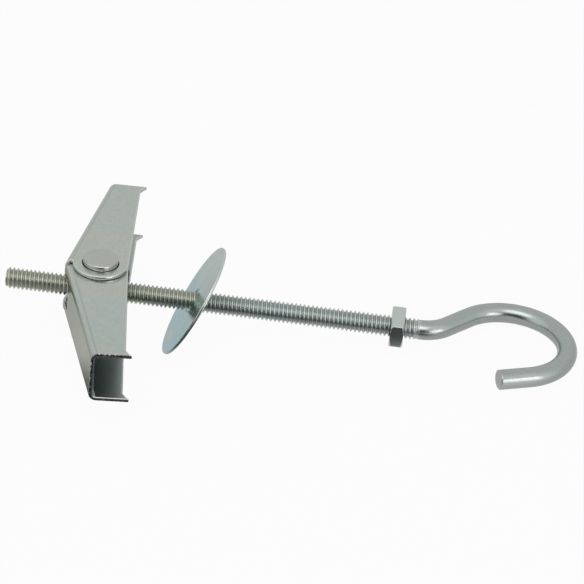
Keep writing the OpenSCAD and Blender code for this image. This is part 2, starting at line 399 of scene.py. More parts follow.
        # Edges, crests and rims take the bare tone: wear with a painted sheen.
        wear_and_sheen = graph.attribute("wear_and_sheen") * (0.7 + (mottle - 0.5) * 1.5)
        film = graph.mix(wear_and_sheen * self.edge_wear_and_sheen, film, self.BARE_AND_SHEEN)
        torn = graph.mix(across.between(0.40, 0.55), self.TORN, self.SHEARED)
        film = graph.mix(cut * 0.9, film, graph.mix(tears, torn, self.TEAR))
        inside = (0.0 - graph.attribute("film_tone_and_shade")).clipped()
        rough = self.gloss + (mottle - 0.4) * self.dull + (lines - 0.5) * 0.08 + scuffs * 0.10
        rough = rough + recess * 0.12 + cut * 0.12 + inside * 0.09
        height = lines * self.grain_depth + dimples * self.dimple_depth - scuffs * self.SCUFF_DEPTH
        graph.metal(film, 1.0, rough, height - cut * across * self.TEAR_DEPTH)
        return made


@dataclass(frozen=True)
class SpringWire:
    """Dark oiled spring wire."""

    name: str = "dark_spring_wire"
    dark: Colour = (0.022, 0.022, 0.026)
    wear_and_sheen: Colour = (0.13, 0.13, 0.135)
    metallic: float = 0.7
    grain_depth: float = 0.004

    def material(self) -> Material:
        """Builds the finish.

        Returns:
            The finished material.
        """
        made = bpy.data.materials.new(self.name)
        graph = Graph(made)
        place = graph.millimetres()
        wear = graph.noise(place, 0.8, detail=4.0, rough=0.7).between(0.52, 0.72)
        fine = graph.noise(place, 9.0, detail=3.0, rough=0.6)
        colour = graph.mix(wear * 0.6, self.dark, self.wear_and_sheen)
        rough = 0.3 + (fine - 0.5) * 0.2 + wear * 0.1
        graph.metal(colour, self.metallic, rough, fine * self.grain_depth)
        return made


WING_FINISH = ZincPlate(
    "zinc_on_sheet", Grain.ROLLED, ((0.52, 0.61, 0.605), (0.54, 0.605, 0.59), (0.55, 0.60, 0.56)),
    painted_shade=(0.015, 0.018, 0.018), painted_shade_share=1.0, patch=0.035, gloss=0.20,
    warm_end=(10.0, 32.0, (0.60, 0.61, 0.545)), edge_wear_and_sheen=0.85, folded=True,
)
ROD_FINISH = ZincPlate(
    "zinc_on_wire", Grain.DRAWN, ((0.44, 0.50, 0.50), (0.46, 0.495, 0.485), (0.43, 0.46, 0.45)),
    painted_shade=(0.10, 0.12, 0.12), painted_shade_share=0.35, gloss=0.23, dull=0.12, dimple_depth=0.004,
    warm_end=(20.0, 45.0, (0.46, 0.455, 0.365)), burnished_to=96.5, streaks=0.45, edge_wear_and_sheen=0.4,
)
PIN_FINISH = ZincPlate(
    "zinc_on_turned_pin", Grain.TURNED, ((0.56, 0.57, 0.53), (0.53, 0.545, 0.51)),
    painted_shade=(0.01, 0.01, 0.01), painted_shade_share=1.0, gloss=0.15, painted_shade_foot=(6.8, 9.37),
)
WASHER_FINISH = ZincPlate(
    "zinc_on_washer", Grain.TUMBLED,
    ((0.40, 0.54, 0.70), (0.32, 0.60, 0.66), (0.34, 0.59, 0.64), (0.50, 0.62, 0.52)),
    patch=0.11, gloss=0.20, warm_end=(-9.0, 3.0, (0.59, 0.64, 0.57)), edge_wear_and_sheen=0.85,
)
NUT_FINISH = ZincPlate(
    "zinc_on_nut", Grain.TUMBLED, ((0.60, 0.645, 0.615), (0.57, 0.61, 0.60)), gloss=0.10, dull=0.05,
)
SPRING_FINISH = SpringWire()


# Meshes.


@dataclass
class Skin:
    """Points and faces of a mesh in the making, with each point's depth in a recess, darkened as painted
    shade, and its wear, which carries a painted sheen.

    Where own isn't given, the finish reads the points themselves.
    """

    points: np.ndarray
    faces: Faces
    recess: Optional[np.ndarray] = None
    own: Optional[np.ndarray] = None
    wear_and_sheen: Optional[np.ndarray] = None

    def __post_init__(self) -> None:
        """Fills in what is not given."""
        self.recess = np.zeros(len(self.points)) if self.recess is None else self.recess
        self.own = self.points if self.own is None else self.own
        self.wear_and_sheen = np.zeros(len(self.points)) if self.wear_and_sheen is None else self.wear_and_sheen

    def joined(self, other: Skin) -> Skin:
        """This skin and another in one mesh.

        Args:
            other: The other skin.

        Returns:
            The joined skin.
        """
        shift = len(self.points)
        return Skin(
            np.vstack([self.points, other.points]),
            self.faces + [tuple(i + shift for i in face) for face in other.faces],
            np.concatenate([self.recess, other.recess]),
            np.vstack([self.own, other.own]),
            np.concatenate([self.wear_and_sheen, other.wear_and_sheen]),
        )

    def piece(self, name: str, place: Matrix, smooth_deg: float = 35.0) -> Object:
        """Makes the object.

        Args:
            name: The piece's name.
            place: Its frame.
            smooth_deg: Edges that turn by less look smooth.

        Returns:
            The new object.
        """
        turn, shift = np.array(place.to_3x3()), np.array(place.translation)
        mesh = bpy.data.meshes.new(name)
        mesh.from_pydata([tuple(p) for p in self.points @ turn.T + shift], [], self.faces)
        store_own(mesh, self.own)
        store(mesh, "recess", self.recess)
        store(mesh, "wear_and_sheen", self.wear_and_sheen)
        work = bmesh.new()
        work.from_mesh(mesh)
        bmesh.ops.remove_doubles(work, verts=work.verts, dist=2e-6)
        bmesh.ops.recalc_face_normals(work, faces=work.faces)
        work.to_mesh(mesh)
        work.free()
        return linked(name, mesh, smooth_deg)


def store(mesh: Mesh, title: str, values: np.ndarray, domain: str = "POINT") -> None:
    """Stores a number at each point or face of a mesh, for the finishes to read."""
    made = mesh.attributes.new(title, "FLOAT", domain)
    made.data.foreach_set("value", np.ascontiguousarray(values, np.float32))


def store_own(mesh: Mesh, own: np.ndarray) -> None:
    """Stores the coordinates that the finishes read at each point of a mesh, in millimetres."""
    made = mesh.attributes.new("own", "FLOAT_VECTOR", "POINT")
    made.data.foreach_set("vector", (own / MM).astype(np.float32).ravel())


def placed(name: str, data: ID) -> Object:
    """Makes an object and links it to the scene.

    Args:
        name: Its name.
        data: Its mesh, lamp or camera.

    Returns:
        The new object.
    """
    made = bpy.data.objects.new(name, data)
    bpy.context.scene.collection.objects.link(made)
    return made


def linked(name: str, mesh: Mesh, smooth_deg: float) -> Object:
    """Links a mesh as an object, shaded smooth up to an angle.

    Large faces outweigh the small ones of a rounded edge, so that flat faces stay flat.

    Args:
        name: The object's name.
        mesh: Its mesh, in the row frame.
        smooth_deg: Edges that turn by less look smooth.

    Returns:
        The new object.
    """
    mesh.shade_smooth()
    corners = np.empty(len(mesh.loops), np.int64)
    mesh.loops.foreach_get("vertex_index", corners)
    counts = np.empty(len(mesh.polygons), np.int64)
    mesh.polygons.foreach_get("loop_total", counts)
    areas = np.empty(len(counts))
    mesh.polygons.foreach_get("area", areas)
    flat = np.empty(3 * len(counts))
    mesh.polygons.foreach_get("normal", flat)
    face_of = np.repeat(np.arange(len(counts)), counts)
    order = np.argsort(corners, kind="stable")
    spots, normals = corners[order], flat.reshape(-1, 3)[face_of[order]]
    weighted = normals * areas[face_of[order]][:, None]
    total = weighted.copy()
    for shift in range(1, int(np.bincount(corners).max())):
        near = (spots[shift:] == spots[:-shift]) & (
            np.einsum("ij,ij->i", normals[shift:], normals[:-shift]) > math.cos(math.radians(smooth_deg))
        )
        total[shift:][near] += weighted[:-shift][near]
        total[:-shift][near] += weighted[shift:][near]
    smooth = np.empty_like(total)
    smooth[order] = total / np.maximum(np.linalg.norm(total, axis=1), 1e-30)[:, None]
    mesh.normals_split_custom_set(smooth)
    return placed(name, mesh)


def round_angles(sides: int) -> np.ndarray:
    """Angles of points spread evenly round a circle."""
    return np.linspace(0, 2 * math.pi, sides, endpoint=False)


def wire_along(path: np.ndarray, radius: float, sides: int) -> Skin:
    """Sweeps a round wire along a path, with flat ends and no twist.

    Args:
        path: The centreline's points.
        radius: The wire's radius.
        sides: Points round the wire.

    Returns:
        The closed skin.
    """
    ahead = np.gradient(path, axis=0)
    ahead /= np.linalg.norm(ahead, axis=1)[:, None]
    side = np.cross(ahead[0], [0.0, 0.0, 1.0])
    if np.linalg.norm(side) < 0.1:
        side = np.cross(ahead[0], [0.0, 1.0, 0.0])
    turns = round_angles(sides)
    rings = []
    for here, way in zip(path, ahead):
        side = side - way * (side @ way)
        side /= np.linalg.norm(side)
        up = np.cross(way, side)
        rings.append(here + radius * (np.outer(np.cos(turns), side) + np.outer(np.sin(turns), up)))
    last = (len(path) - 1) * sides
    faces = ring_faces(len(path), sides)
    faces += [tuple(range(sides - 1, -1, -1)), tuple(range(last, last + sides))]
    along = np.concatenate([[0.0], np.cumsum(np.linalg.norm(np.diff(path, axis=0), axis=1))])
    own = [[run, radius * math.cos(t), radius * math.sin(t)] for run in along for t in turns]
    return Skin(np.vstack(rings), faces, None, np.array(own))


def ring_faces(rings: int, sides: int, closed: bool = False, peaked: bool = False) -> Faces:
    """Quads between rings of points that follow each other.

    Args:
        rings: Number of rings.
        sides: Points in each ring.
        closed: Whether the last ring joins the first.
        peaked: Whether one more point closes the last ring.

    Returns:
        The faces.
    """
    faces = []
    for i in range(rings if closed else rings - 1):
        j = (i + 1) % rings
        for k in range(sides):
            n = (k + 1) % sides
            faces.append((i * sides + k, i * sides + n, j * sides + n, j * sides + k))
    if peaked:
        last = (rings - 1) * sides
        faces += [(last + k, last + (k + 1) % sides, last + sides) for k in range(sides)]
    return faces


def turned(profile: Sequence[Pair], sides: int, recess: Sequence[float], wear_and_sheen: Sequence[float]) -> Skin:
    """Turns a closed profile round Z.

    Args:
        profile: Radius and height of each corner, in order round the profile.
        sides: Points round the axis.
        recess: Depth in a recess of each corner, from 0 to 1, darkened as painted shade.
        wear_and_sheen: Wear and painted sheen of each corner, from 0 to 1.

    Returns:
        The closed skin.
    """
    turns = round_angles(sides)
    rings = [np.stack([r * np.cos(turns), r * np.sin(turns), np.full(sides, z)], axis=1) for r, z in profile]
    faces = ring_faces(len(profile), sides, closed=True)
    return Skin(np.vstack(rings), faces, np.repeat(recess, sides), None, np.repeat(wear_and_sheen, sides))


def arc(centre: Pair, radius: float, start: float, end: float, steps: int) -> List[Pair]:
    """Points of an arc, both ends included, with its angles in degrees."""
    turns = np.radians(np.linspace(start, end, steps + 1))
    return [(centre[0] + radius * math.cos(t), centre[1] + radius * math.sin(t)) for t in turns]


def spin(degrees: float, axis: str) -> Matrix:
    """A turn about an axis."""
    return Matrix.Rotation(math.radians(degrees), 4, axis)


# The bolt's own directions.


@dataclass(frozen=True)
class BoltFrame:
    """The toggle's pivot, with X along the rod to the hook and Z along the pin."""

    matrix: Matrix

    @classmethod
    def from_joints(cls, joints: Sequence[Dict[str, object]]) -> BoltFrame:
        """Reads the directions from the joints.

        Args:
            joints: The frame's joints.

        Returns:
            The bolt's frame.
        """
        by_name = {joint["name"]: joint for joint in joints}
        along = Vector(by_name["head_travel"]["axis"]).normalized()
        pin = Vector(by_name["inner_fold"]["axis"]).normalized()
        turn = Matrix((along, pin.cross(along), pin)).transposed().to_4x4()
        return cls(Matrix.Translation(Vector(by_name["inner_fold"]["pos_m"])) @ turn)

    def on_rod(self, x: float) -> Matrix:
        """The bolt's frame, moved along the rod."""
        return self.matrix @ Matrix.Translation((x, 0, 0))

    def lowest_x(self, node: str) -> float:
        """How far back along the rod a CAD node starts."""
        back = self.matrix.inverted()
        return min((back @ v.co).x for v in frame["nodes"][node].data.vertices)


# Hook bolt.


@dataclass
class HookBolt:
    """One rolled wire: a threaded rod, an S-shaped neck and an open hook."""

    bolt: BoltFrame
    thread_r: float = 3.175 * MM
    pitch: float = 1.27 * MM
    thread_len: float = 122.8 * MM
    runout_len: float = 1.905 * MM
    groove: float = 0.70 * MM
    chamfer: float = 0.75 * MM
    wire_r: float = 2.96 * MM
    neck_bend_r: float = 10.7 * MM
    neck_deg: float = 46.0
    neck_straight: float = 9.6 * MM
    hook_r: float = 17.35 * MM
    hook_deg: float = 205.0
    tail: float = 9.7 * MM
    end_round: float = 0.35 * MM
    cropped: float = 2.2
    lead_turns: float = 1.6
    spare_turns: int = 5
    path_step: float = 0.6 * MM
    sides: int = 48

    # Share of the tip's radius, and millimetres that the cropped face sinks there.
    DISH = ((1.0, 0.0), (0.8, 0.03), (0.35, 0.06))
    DISH_CENTRE = 0.07
    # Place in one pitch, and height between root and crest.
    PROFILE = (
        (0.00, 1.0), (0.06, 0.985), (0.11, 0.90), (0.24, 0.47), (0.37, 0.08),
        (0.50, 0.0), (0.63, 0.08), (0.76, 0.47), (0.89, 0.90), (0.94, 0.985),
    )

    def threaded_rod(self) -> Skin:
        """Helical thread from the chamfered tip to its runout.

        Returns:
            The rod's skin, open at the runout.
        """
        start = self.bolt.lowest_x("hook_bolt")
        end = start + self.thread_len
        stop = end + self.runout_len
        per_turn = len(self.PROFILE)
        turns = int(self.thread_len / self.pitch) + self.spare_turns
        angles = round_angles(self.sides)
        phase = np.array([turn + place for turn in range(turns) for place, _ in self.PROFILE])
        height = np.array([h for _ in range(turns) for _, h in self.PROFILE])
        x = start + self.pitch * (phase[:, None] - self.lead_turns + angles / (2 * math.pi))
        fade = np.clip((x - end) / self.runout_len, 0, 1)
        crest = self.thread_r + (self.wire_r - self.thread_r) * fade
        radius = crest - self.groove * (1 - fade) * (1 - height[:, None])
        radius = np.where(fade >= 1, self.wire_r, np.minimum(radius, crest))
        radius = np.minimum(radius, self.thread_r - self.chamfer + np.maximum(x - start, 0))
        x = np.clip(x, start, stop)
        points = np.stack([x, radius * np.cos(angles), radius * np.sin(angles)], axis=2)
        # The thread's roots are darkened as painted shade.
        recess = np.clip(1.15 * (1 - height[:, None]) ** 1.5 * (1 - fade), 0, 1)
        faces = []
        for m in range((turns - 1) * per_turn - 1):
            for a in range(self.sides):
                here = m * self.sides + a
                beside = here + 1 if a < self.sides - 1 else (m + per_turn) * self.sides
                faces.append((here, beside, beside + self.sides, here + self.sides))
        flat = points.reshape(-1, 3)
        reach = np.hypot(flat[:, 1], flat[:, 2])
        # Faces that the clipping has flattened at either end are left out.
        whole = [f for f in faces if max(np.ptp(flat[list(f), 0]), np.ptp(reach[list(f)])) > 1e-9]
        # The crests carry wear with a painted sheen.
        crest_wear_and_sheen = np.clip((height[:, None] - 0.85) / 0.15, 0, 1) * (1 - fade)
        skin = Skin(flat, whole, recess.reshape(-1), None, crest_wear_and_sheen.reshape(-1))
        return skin.joined(self._tip(start))

    def _tip(self, start: float) -> Skin:
        """Flat end face of the rod, slightly dished as it was cropped.

        Args:
            start: Where the rod starts, along X.

        Returns:
            The face's skin.
        """
        rim = self.thread_r - self.chamfer
        turns = round_angles(self.sides)
        rings = [(rim * share, sink * MM) for share, sink in self.DISH]
        points = [[start + sink, r * math.cos(t), r * math.sin(t)] for r, sink in rings for t in turns]
        points.append([start + self.DISH_CENTRE * MM, 0.0, 0.0])
        return Skin(np.array(points), ring_faces(len(rings), self.sides, peaked=True))

    def centreline(self) -> np.ndarray:
        """Centreline of the neck and hook, from the end of the thread's runout.

        Returns:
            Its points, in the bolt's frame.
        """
        spot = np.array([self.bolt.lowest_x("hook_bolt") + self.thread_len + self.runout_len, 0.0])
        heading = 0.0
        line = [spot]
        for length, radius in (
            (math.radians(self.neck_deg) * self.neck_bend_r, self.neck_bend_r),
            (self.neck_straight, None),
            (math.radians(self.hook_deg) * self.hook_r, -self.hook_r),
            (self.tail, None),
        ):
            steps = max(4, int(length / self.path_step))
            first, first_heading = spot, heading
            ahead = np.array([math.cos(heading), math.sin(heading)])
            left = np.array([-math.sin(heading), math.cos(heading)])
            for done in (length * step / steps for step in range(1, steps + 1)):
                spot = first + done * ahead
                if radius:
                    heading = first_heading + done / radius
                    right = np.array([math.sin(heading), -math.cos(heading)])
                    spot = first + radius * left + radius * right
                line.append(spot)
        flat = np.array(line)
        return np.column_stack([flat, np.zeros(len(flat))])

    def neck_and_hook(self) -> Skin:
        """Plain wire from the thread to the hook's cut end.

        Returns:
            The wire's skin, open at the thread.
        """
        line = self.centreline()
        ahead = np.gradient(line, axis=0)
        ahead /= np.linalg.norm(ahead, axis=1)[:, None]
        turns = round_angles(self.sides)
        stations = [(p, w, self.wire_r) for p, w in zip(line[:-1], ahead[:-1])]
        stations[0] = (line[0], np.array([1.0, 0.0, 0.0]), self.wire_r)
        tip, way = line[-1], ahead[-1]
        cos = np.cos(turns)
        for step in range(5):
            turn = math.radians(22.5 * step)
            back = self.end_round * (1 - math.sin(turn))
            stations.append((tip - way * back, way, self.wire_r - self.end_round * (1 - math.cos(turn))))
        stations.append((tip - way * 0.04 * MM, way, self.wire_r * 0.5))
        rings = []
        for here, way, radius in stations:
            rings.append(here + radius * np.column_stack([-way[1] * cos, way[0] * cos, np.sin(turns)]))
        rings.append((tip - stations[-1][1] * 0.05 * MM)[None, :])
        faces = ring_faces(len(stations), self.sides, peaked=True)
        points = np.vstack(rings)
        steps = np.linalg.norm(np.diff([here for here, _, _ in stations], axis=0), axis=1)
        along = line[0][0] + np.concatenate([[0.0], np.cumsum(steps)])
        radii = [radius for _, _, radius in stations]
        own = [[run, r * math.cos(t), r * math.sin(t)] for run, r in zip(along, radii) for t in turns]
        own.append([along[-1], 0.0, 0.0])
        # The rounded end carries wear with a painted sheen, and the cropped face takes more of the bare
        # tone.
        wear_and_sheen = np.zeros(len(points))
        wear_and_sheen[(len(stations) - 5) * self.sides :] = 1.0
        wear_and_sheen[(len(stations) - 2) * self.sides :] = self.cropped
        return Skin(points, faces, None, np.array(own), wear_and_sheen)

    def build(self) -> None:
        """Makes the hook bolt and sets it in the frame."""
        skin = self.threaded_rod().joined(self.neck_and_hook())
        made = skin.piece("hook_bolt_wire", self.bolt.matrix, 50.0)
        finish(made, ROD_FINISH.material(), "bolt", "hook_bolt")


# Toggle.


@dataclass
class FoldedWing:
    """A wing folded from sheet, with sheared edges softened by tumbling. Its own X runs along it."""

    bolt: BoltFrame
    node: str
    body: str
    heading_deg: float
    open_side: float
    sheet: float = 1.25 * MM
    web_inside: float = 9.06 * MM
    web_deg: float = 10.79
    fold_r: float = 2.2 * MM
    pin_hole_r: float = 5.4 * MM
    edge_round: float = 0.38 * MM
    ear_r: float = 8.3 * MM
    hole_slack: float = 0.14 * MM
    ear_slack: float = 0.5 * MM
    middle_depth: float = 4.0 * MM
    end_from: float = 40.0 * MM

    def marks(self, centre: Vector, normal: Vector) -> Triple:
        """Tells the inside of the channel and the sheared edges from the outer faces.

        Args:
            centre: A face's centre, in the wing's own frame.
            normal: Its normal.

        Returns:
            How much the face lies in a recess, darkened as painted shade; whether it is a sheared edge; and
            how warm its film is, which near the rod also sets painted shade, with -1 inside the channel for
            a darker teal tint that is partly painted shade.
        """
        flip = Matrix.Diagonal((1.0, self.open_side, 1.0))
        spot, facing = flip @ centre, flip @ normal
        turn = math.radians(self.web_deg)
        along = Vector((math.cos(turn), math.sin(turn), 0))
        out = Vector((math.sin(turn), -math.cos(turn), 0))
        from_pin = math.hypot(spot.x, spot.y)
        in_hole = abs(facing.z) < 0.98 and from_pin < self.pin_hole_r + self.hole_slack
        under = facing.z * math.copysign(1.0, spot.z)
        under_ear = -0.95 < under < -0.40 and abs(from_pin - self.ear_r) < self.ear_slack
        # The wall of the pin hole and the band under the ear's rim are darkened near black as painted shade.
        if in_hole or under_ear:
            return 1.0, 0.0, 0.0
        middle = along * spot.dot(along) + out * (self.web_inside - self.middle_depth)
        inward = facing.dot((middle - spot).normalized())
        # The inside of the channel is marked -1 for a darker teal tint that is partly painted shade.
        if abs(facing.dot(along)) < 0.3 and inward > 0.3:
            return 0.0, 0.0, -1.0
        if facing.x > 0.5 and spot.x > self.end_from:
            return 0.0, 1.0, 0.0
        return 0.0, 0.0, min(1.0, max(0.0, (facing.dot(out) - 0.75) / 0.2))

    def across(self, spots: np.ndarray) -> Tuple[np.ndarray, np.ndarray]:
        """Places points in the sheet.

        Args:
            spots: Points in the wing's own frame.

        Returns:
            How far each lies through the sheet, from 0 at its outer face to 1 at its inner face, and how far
            beyond the start of the fold, in millimetres.
        """
        turn = math.radians(self.web_deg)
        depth = spots[:, 0] * math.sin(turn) - spots[:, 1] * self.open_side * math.cos(turn)
        half = np.abs(spots[:, 2]).max()
        far = self.web_inside + self.sheet
        beyond = np.stack([np.abs(spots[:, 2]) - (half - self.fold_r), depth - (far - self.fold_r)])
        outside = np.linalg.norm(np.maximum(beyond, 0), axis=0) + np.minimum(beyond.max(axis=0), 0)
        return np.clip((self.fold_r - outside) / self.sheet, 0, 1), beyond[1] / MM

    def build(self) -> None:
        """Makes the wing from its solid, with rounded sheared edges."""
        place = self.bolt.matrix @ spin(self.heading_deg, "Z")
        made = softened(self.node, f"{self.node}_sheet", place, self.edge_round, self.marks)
        spots = np.empty(3 * len(made.data.vertices), np.float32)
        made.data.attributes["own"].data.foreach_get("vector", spots)
        for title, values in zip(("across", "bend"), self.across(spots.reshape(-1, 3).astype(float) * MM)):
            store(made.data, title, values)
        finish(made, WING_FINISH.material(), self.body, self.node)


def unmarked(centre: Vector, normal: Vector) -> Triple:
    """Leaves a face as it is."""
    return 0.0, 0.0, 0.0


Marks = Callable[[Vector, Vector], Triple]


def softened(node: str, name: str, place: Matrix, edge_round: float, marks: Marks = unmarked) -> Object:
    """A copy of a CAD solid whose sharp edges are rounded.

    Args:
        node: The CAD node.
        name: The piece's name.
        place: The frame that the finish follows.
        edge_round: Width of the rounding.
        marks: Gives a face's recess, darkened as painted shade, its cut, and its film's warm tone and
            painted shade, from its centre and normal in that frame.

    Returns:
        The new object.
    """
    back = place.inverted()
    mesh = frame["nodes"][node].data.copy()
    work = bmesh.new()
    work.from_mesh(mesh)
    bmesh.ops.remove_doubles(work, verts=work.verts, dist=1e-7)
    bmesh.ops.dissolve_limit(work, angle_limit=math.radians(0.5), verts=work.verts, edges=work.edges)
    sharp = [e for e in work.edges if e.is_manifold and e.calc_face_angle(0.0) > math.radians(28)]
    # Rounded edges are marked for wear with a painted sheen.
    wear_and_sheen = work.faces.layers.float.new("wear_and_sheen")
    eased = bmesh.ops.bevel(work, geom=sharp, offset=edge_round, segments=4, profile=0.5, affect="EDGES")
    for face in eased["faces"]:
        face[wear_and_sheen] = 1.0
    work.normal_update()
    work.to_mesh(mesh)
    work.free()
    marked = np.array([marks(back @ f.center, back.to_3x3() @ f.normal) for f in mesh.polygons], np.float32)
    store_own(mesh, np.array([back @ v.co for v in mesh.vertices]))
    for column, title in enumerate(("recess", "cut", "film_tone_and_shade")):
        store(mesh, title, marked[:, column], "FACE")
    return linked(name, mesh, 32.0)


@dataclass
class Trunnion:
    """Turned cross barrel that the wings hinge on, tapped for the rod."""

    bolt: BoltFrame
    edge_round: float = 0.10 * MM

    def build(self) -> None:
        """Makes the trunnion from its solid, with broken edges."""
        made = softened("trunnion", "trunnion_barrel", self.bolt.matrix, self.edge_round)
        finish(made, PIN_FINISH.material(), "toggle_head", "trunnion")


@dataclass
class WingSpring:
    """Double torsion spring of one wire, in six stretches that each ride on the body they bear on."""

    bolt: BoltFrame
    wire_r: float = 0.45 * MM
    coil_wire_r: float = 0.42 * MM
    coil_r: float = 8.45 * MM
    inner_z: float = 3.775 * MM
    coil_pitch: float = 1.15 * MM
    full_turns: int = 2
    leg: float = 16.0 * MM
    bridge_bend_r: float = 1.5 * MM
    web_deg: float = 10.79
    inner_fold_deg: float = 7.0
    outer_fold_deg: float = -3.0
    carried_deg: float = 95.0
    tuck_deg: float = 4.0
    middle_deg: Pair = (273.0, 462.0)
    middle_rise: Pair = (0.386, 0.613)
    step_deg: int = 3
    near: float = 3.0 * MM
    far: float = 9.0 * MM
    sides: int = 12

    def _beside(self, side_deg: float, out_deg: float, out: float, height: float) -> List[float]:
        """A point out along a straight stretch that leaves the coil."""
        side, way = math.radians(side_deg), math.radians(out_deg)
        return [*(self.coil_r * part(side) + out * part(way) for part in (math.cos, math.sin)), height]

    def _coil(
        self, start_deg: float, whole_deg: float, first_deg: float, last_deg: float
    ) -> List[List[float]]:
        """Points of the coil, which is level where the bridge and the leg carry it.

        Args:
            start_deg: Where the whole coil starts, about the pin.
            whole_deg: How far it turns.
            first_deg: Where the points start along it.
            last_deg: Where they end along it.

        Returns:
            The points.
        """
        degrees = np.linspace(first_deg, last_deg, int((last_deg - first_deg) / self.step_deg) + 2)
        stops = (self.carried_deg, *self.middle_deg, whole_deg - self.carried_deg)
        risen = np.interp(degrees, stops, (0.0, *self.middle_rise, 1.0))
        heights = self.inner_z + risen * self.coil_pitch * whole_deg / 360
        angles = np.radians(start_deg + degrees)
        return [[self.coil_r * math.cos(t), self.coil_r * math.sin(t), z] for t, z in zip(angles, heights)]

    def stretches(self) -> Tuple[np.ndarray, np.ndarray, np.ndarray]:
        """Centrelines of the upper half of the spring.

        The bridge and the leg each carry a stretch of the coil, which slips off the rest as the wings fold.

        Returns:
            Half of the bridge, the coil, and the leg.
        """
        bridge = 90 - self.outer_fold_deg - self.web_deg
        leg = self.web_deg + self.inner_fold_deg - 90
        whole = 360 * self.full_turns + (leg - 90 + 360 - bridge - 90)
        start = bridge + 90
        top = self.inner_z + whole / 360 * self.coil_pitch
        centre = (self.leg - self.bridge_bend_r, self.inner_z - self.bridge_bend_r)
        bend = [self._beside(start, bridge, *spot) for spot in arc(centre, self.bridge_bend_r, 0, 90, 6)]
        first = [bend[0][:2] + [0.0]] + bend
        first += [self._beside(start, bridge, out, self.inner_z) for out in (self.far, self.near)]
        outward = [self._beside(leg - 90, leg, out, top) for out in (self.near, self.far, self.leg)]
        return (
            np.array(first + self._coil(start, whole, 0, self.carried_deg)),
            np.array(self._coil(start, whole, self.tuck_deg, whole - self.tuck_deg)),
            np.array(self._coil(start, whole, whole - self.carried_deg, whole) + outward),
        )

    def build(self) -> None:
        """Makes the six stretches of the spring, each on the body that it bears on."""
        material = SPRING_FINISH.material()
        parts = (
            ("bridge", "outer", self.wire_r),
            ("coil", "toggle_head", self.coil_wire_r),
            ("leg", "inner", self.wire_r),
        )
        for side, name in ((1.0, "upper"), (-1.0, "lower")):
            for path, (part, body, radius) in zip(self.stretches(), parts):
                skin = wire_along(path * np.array([1.0, 1.0, side]), radius, self.sides)
                made = skin.piece(f"spring_{name}_{part}", self.bolt.matrix, 60.0)
                finish(made, material, body, "wing_spring")


# Washer and nut.


@dataclass
class CoverWasher:
    """Blanked disc, leaning on the rod."""

    bolt: BoltFrame
    centre_x: float = 28.7 * MM
    lean_deg: float = 26.0
    radius: float = 18.045 * MM
    thickness: float = 0.9 * MM
    hole_r: float = 3.953 * MM
    rim_round: float = 0.3 * MM
    hole_round: float = 0.16 * MM

    def build(self) -> None:
        """Makes the disc, with a rolled-over rim and hole."""
        half = self.thickness / 2
        rim, hole = self.rim_round, self.hole_round
        profile = arc((self.radius - rim, half - rim), rim, 90, 0, 6)
        profile += arc((self.radius - rim, rim - half), rim, 0, -90, 6)
        profile += arc((self.hole_r + hole, hole - half), hole, -90, -180, 4)
        profile += arc((self.hole_r + hole, half - hole), hole, 180, 90, 4)
        # The hole's wall is darkened as painted shade.
        recess = [0.8 if abs(z) < half - hole and r < self.radius / 2 else 0.0 for r, z in profile]
        place = self.bolt.on_rod(self.centre_x) @ spin(90 + self.lean_deg, "Y")
        # The rim carries wear with a painted sheen.
        wear_and_sheen = [1.0 if r > self.radius - rim * 0.5 else 0.0 for r, _ in profile]
        made = turned(profile, 192, recess, wear_and_sheen).piece("cover_washer_disc", place, 40.0)
        finish(made, WASHER_FINISH.material(), "washer", "cover_washer")


@dataclass
class LockNut:
    """Thin hexagon nut with rounded corners on both faces and a countersunk thread."""

    bolt: BoltFrame
    near_x: float = 88.0 * MM
    across_flats: float = 11.9 * MM
    thickness: float = 3.97 * MM
    bore_r: float = 3.25 * MM
    sink_r: float = 3.55 * MM
    turn_deg: float = 59.0
    edge_round: float = 0.12 * MM
    chamfer_deg: float = 30.0
    corner_land: float = 0.05 * MM
    sides: int = 180

    def _ring(self, angle: float) -> List[Tuple[float, float, float, float]]:
        """Profile of the nut at an angle.

        Args:
            angle: The angle, about the bore.

        Returns:
            Radius, height, recess and wear of its corners. The recess is darkened as painted shade, and the
            wear carries a painted sheen.
        """
        flat = self.across_flats / 2
        off = (math.degrees(angle) % 60) - 30
        wall = flat / math.cos(math.radians(off))
        wall = min(wall, flat / math.cos(math.radians(30)) - self.corner_land)
        drop = (wall - flat) * math.tan(math.radians(self.chamfer_deg))
        soft = self.edge_round
        sink = (self.sink_r - self.bore_r) * 0.8
        # The bore and countersink are darkened as painted shade, and the chamfered edges carry wear with a
        # painted sheen.
        low = [
            (self.bore_r, sink, 1.0, 0.0),
            (self.sink_r, 0.0, 0.5, 0.0),
            (self.sink_r + 0.1 * MM, 0.0, 0.0, 0.0),
            (flat - soft, 0.0, 0.0, 0.3),
            (flat - soft * 0.25, soft * 0.15, 0.0, 1.0),
            (max(wall - soft * 0.4, flat - soft * 0.1), drop + soft * 0.15, 0.0, 1.0),
            (wall, drop + soft, 0.0, 0.0),
        ]
        high = [(r, self.thickness - z, deep, wear) for r, z, deep, wear in reversed(low)]
        return low + high

    def build(self) -> None:
        """Makes the nut."""
        angles = round_angles(self.sides)
        rings = np.array([self._ring(a) for a in angles])
        radius, height, recess, wear_and_sheen = (rings[:, :, column] for column in range(4))
        turns = angles[:, None]
        points = np.stack([radius * np.cos(turns), radius * np.sin(turns), height], axis=2).reshape(-1, 3)
        faces = ring_faces(self.sides, rings.shape[1], closed=True)
        skin = Skin(points, faces, recess.reshape(-1), None, wear_and_sheen.reshape(-1))
        place = self.bolt.on_rod(self.near_x) @ spin(self.turn_deg, "X") @ spin(90, "Y")
        made = skin.piece("lock_nut_hexagon", place, 24.0)
        finish(made, NUT_FINISH.material(), "nut", "lock_nut")


